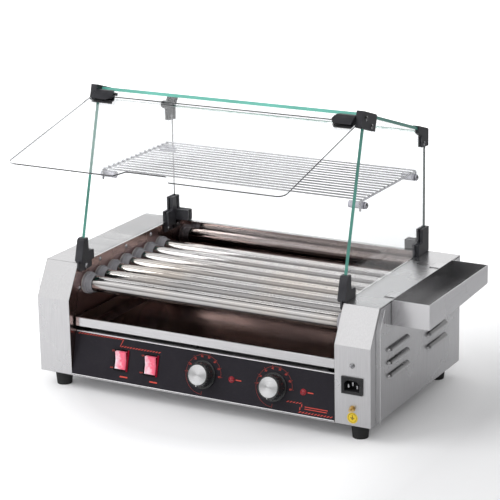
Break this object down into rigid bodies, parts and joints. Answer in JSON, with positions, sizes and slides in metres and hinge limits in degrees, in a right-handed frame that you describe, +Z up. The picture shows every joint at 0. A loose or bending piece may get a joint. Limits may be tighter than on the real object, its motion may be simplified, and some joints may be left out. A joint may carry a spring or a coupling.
{
  "type": "hot dog roller grill",
  "caption": "Counter-top roller grill for hot dogs, with chain-driven heated rollers, a drip tray, a glass hood with a hinged door, a wire bun shelf and a side tray.",
  "frame": {"origin": "on the counter, below the middle of the body between the side housings", "axes": "+X along the rollers to the operator's right, +Y to the back, +Z up"},
  "size_m": [0.6492, 0.4741, 0.4747],
  "materials": {
    "satin_steel": "satin brushed stainless sheet",
    "mirror_steel": "bright annealed stainless sheet",
    "tray_steel": "bright stainless tray sheet",
    "roller_steel": "polished stainless tube",
    "black_facing": "black printed facing with red marks",
    "foot_rubber": "matt moulded rubber",
    "bush_plastic": "natural grey bush",
    "collar_rubber": "grey heat-proof rubber",
    "heater_metal": "oxidised heater sheath",
    "motor_casting": "cast gearbox",
    "sprocket_steel": "oiled steel",
    "chain_steel": "oiled dark steel",
    "black_plastic": "moulded black plastic",
    "brass_stud": "turned brass",
    "thermostat_body": "pressed case",
    "red_rocker": "lit translucent red",
    "red_lamp": "translucent red lens",
    "knob_plastic": "moulded black knob",
    "spun_aluminium": "spun radial grain",
    "hood_glass": "clear glass with green edges",
    "clamp_plastic": "moulded black plastic, fine texture",
    "door_acrylic": "clear acrylic sheet",
    "post_plastic": "milky clear plastic",
    "rack_wire": "bright plated wire",
    "screw_steel": "bright machine screw"
  },
  "bodies": {
    "root": {"base_pan": "satin_steel", "left_housing": "satin_steel", "right_housing": "satin_steel", "left_inner_wall": "satin_steel", "right_inner_wall": "satin_steel", "left_side_cover": "satin_steel", "right_side_cover": "satin_steel", "control_panel": "satin_steel", "tray_deck": "satin_steel", "heater_brackets": "satin_steel", "back_wall": "mirror_steel", "panel_facing": "black_facing", "rubber_feet": "foot_rubber", "roller_bushes": "bush_plastic", "heater_rods": "heater_metal", "drive_motor": "motor_casting", "drive_chain": "chain_steel", "power_inlet": "black_plastic", "earth_stud": "brass_stud", "thermostats": "thermostat_body", "switch_frames": "black_plastic", "indicator_lamps": "red_lamp", "left_glass": "hood_glass", "right_glass": "hood_glass", "back_glass": "hood_glass", "top_glass": "hood_glass", "front_clamps": "clamp_plastic", "back_clamps": "clamp_plastic", "front_clips": "clamp_plastic", "back_clips": "clamp_plastic", "shelf_posts": "post_plastic", "body_screws": "screw_steel", "hood_screws": "screw_steel"},
    "door": {"door_panel": "door_acrylic", "door_hinges": "clamp_plastic"},
    "drip_tray_body": {"drip_tray": "tray_steel"},
    "utensil_tray_body": {"utensil_tray": "satin_steel"},
    "shelf": {"shelf_rack": "rack_wire"},
    "front_knob_body": {"front_knob": "knob_plastic", "front_knob_face": "spun_aluminium"},
    "rear_knob_body": {"rear_knob": "knob_plastic", "rear_knob_face": "spun_aluminium"},
    "left_rocker_body": {"left_rocker": "red_rocker"},
    "right_rocker_body": {"right_rocker": "red_rocker"},
    "motor_shaft": {"motor_sprocket": "sprocket_steel"},
    "roller_1_body": {"roller_1": "roller_steel", "roller_1_collars": "collar_rubber"},
    "roller_2_body": {"roller_2": "roller_steel", "roller_2_collars": "collar_rubber"},
    "roller_3_body": {"roller_3": "roller_steel", "roller_3_collars": "collar_rubber"},
    "roller_4_body": {"roller_4": "roller_steel", "roller_4_collars": "collar_rubber"},
    "roller_5_body": {"roller_5": "roller_steel", "roller_5_collars": "collar_rubber"},
    "roller_6_body": {"roller_6": "roller_steel", "roller_6_collars": "collar_rubber"},
    "roller_7_body": {"roller_7": "roller_steel", "roller_7_collars": "collar_rubber"}
  },
  "joints": [
    {"name": "roller_1_turn", "type": "hinge", "parent": "root", "child": "roller_1_body", "pos_m": [0, -0.108, 0.163], "axis": [1, 0, 0], "continuous": true, "deforming": ["drive_chain"]},
    {"name": "roller_2_turn", "type": "hinge", "parent": "root", "child": "roller_2_body", "pos_m": [0, -0.0713, 0.163], "axis": [1, 0, 0], "continuous": true},
    {"name": "roller_3_turn", "type": "hinge", "parent": "root", "child": "roller_3_body", "pos_m": [0, -0.0346, 0.163], "axis": [1, 0, 0], "continuous": true},
    {"name": "roller_4_turn", "type": "hinge", "parent": "root", "child": "roller_4_body", "pos_m": [0, 0.0021, 0.163], "axis": [1, 0, 0], "continuous": true},
    {"name": "roller_5_turn", "type": "hinge", "parent": "root", "child": "roller_5_body", "pos_m": [0, 0.0388, 0.163], "axis": [1, 0, 0], "continuous": true},
    {"name": "roller_6_turn", "type": "hinge", "parent": "root", "child": "roller_6_body", "pos_m": [0, 0.0755, 0.163], "axis": [1, 0, 0], "continuous": true},
    {"name": "roller_7_turn", "type": "hinge", "parent": "root", "child": "roller_7_body", "pos_m": [0, 0.1122, 0.163], "axis": [1, 0, 0], "continuous": true},
    {"name": "motor_turn", "type": "hinge", "parent": "root", "child": "motor_shaft", "pos_m": [-0.24, 0.002, 0.06217], "axis": [1, 0, 0], "continuous": true},
    {"name": "front_knob_turn", "type": "hinge", "parent": "root", "child": "front_knob_body", "pos_m": [0.004, -0.16286, 0.06328], "axis": [0, 0.9615, -0.2747], "range_deg": [0, 290]},
    {"name": "rear_knob_turn", "type": "hinge", "parent": "root", "child": "rear_knob_body", "pos_m": [0.126, -0.16286, 0.06328], "axis": [0, 0.9615, -0.2747], "range_deg": [0, 290]},
    {"name": "left_switch_rock", "type": "hinge", "parent": "root", "child": "left_rocker_body", "pos_m": [-0.143, -0.15277, 0.0604], "axis": [1, 0, 0], "range_deg": [-16, 0]},
    {"name": "right_switch_rock", "type": "hinge", "parent": "root", "child": "right_rocker_body", "pos_m": [-0.089, -0.15277, 0.0604], "axis": [1, 0, 0], "range_deg": [-16, 0]},
    {"name": "door_swing", "type": "hinge", "parent": "root", "child": "door", "pos_m": [0, -0.069, 0.462], "axis": [1, 0, 0], "range_deg": [0, 61.4]},
    {"name": "drip_tray_slide", "type": "slide", "parent": "root", "child": "drip_tray_body", "axis": [0, -1, 0], "range_m": [0, 0.26]},
    {"name": "shelf_lift", "type": "slide", "parent": "root", "child": "shelf", "axis": [0, 0, 1], "range_m": [0, 0.04]},
    {"name": "utensil_tray_lift", "type": "slide", "parent": "root", "child": "utensil_tray_body", "axis": [0, 0, 1], "range_m": [0, 0.04]}
  ],
  "couplings": [
    {"joint": "roller_2_turn", "follows": "roller_1_turn", "ratio": 1},
    {"joint": "roller_3_turn", "follows": "roller_1_turn", "ratio": 1},
    {"joint": "roller_4_turn", "follows": "roller_1_turn", "ratio": 1},
    {"joint": "roller_5_turn", "follows": "roller_1_turn", "ratio": 1},
    {"joint": "roller_6_turn", "follows": "roller_1_turn", "ratio": 1},
    {"joint": "roller_7_turn", "follows": "roller_1_turn", "ratio": 1},
    {"joint": "motor_turn", "follows": "roller_1_turn", "ratio": 1.25}
  ]
}
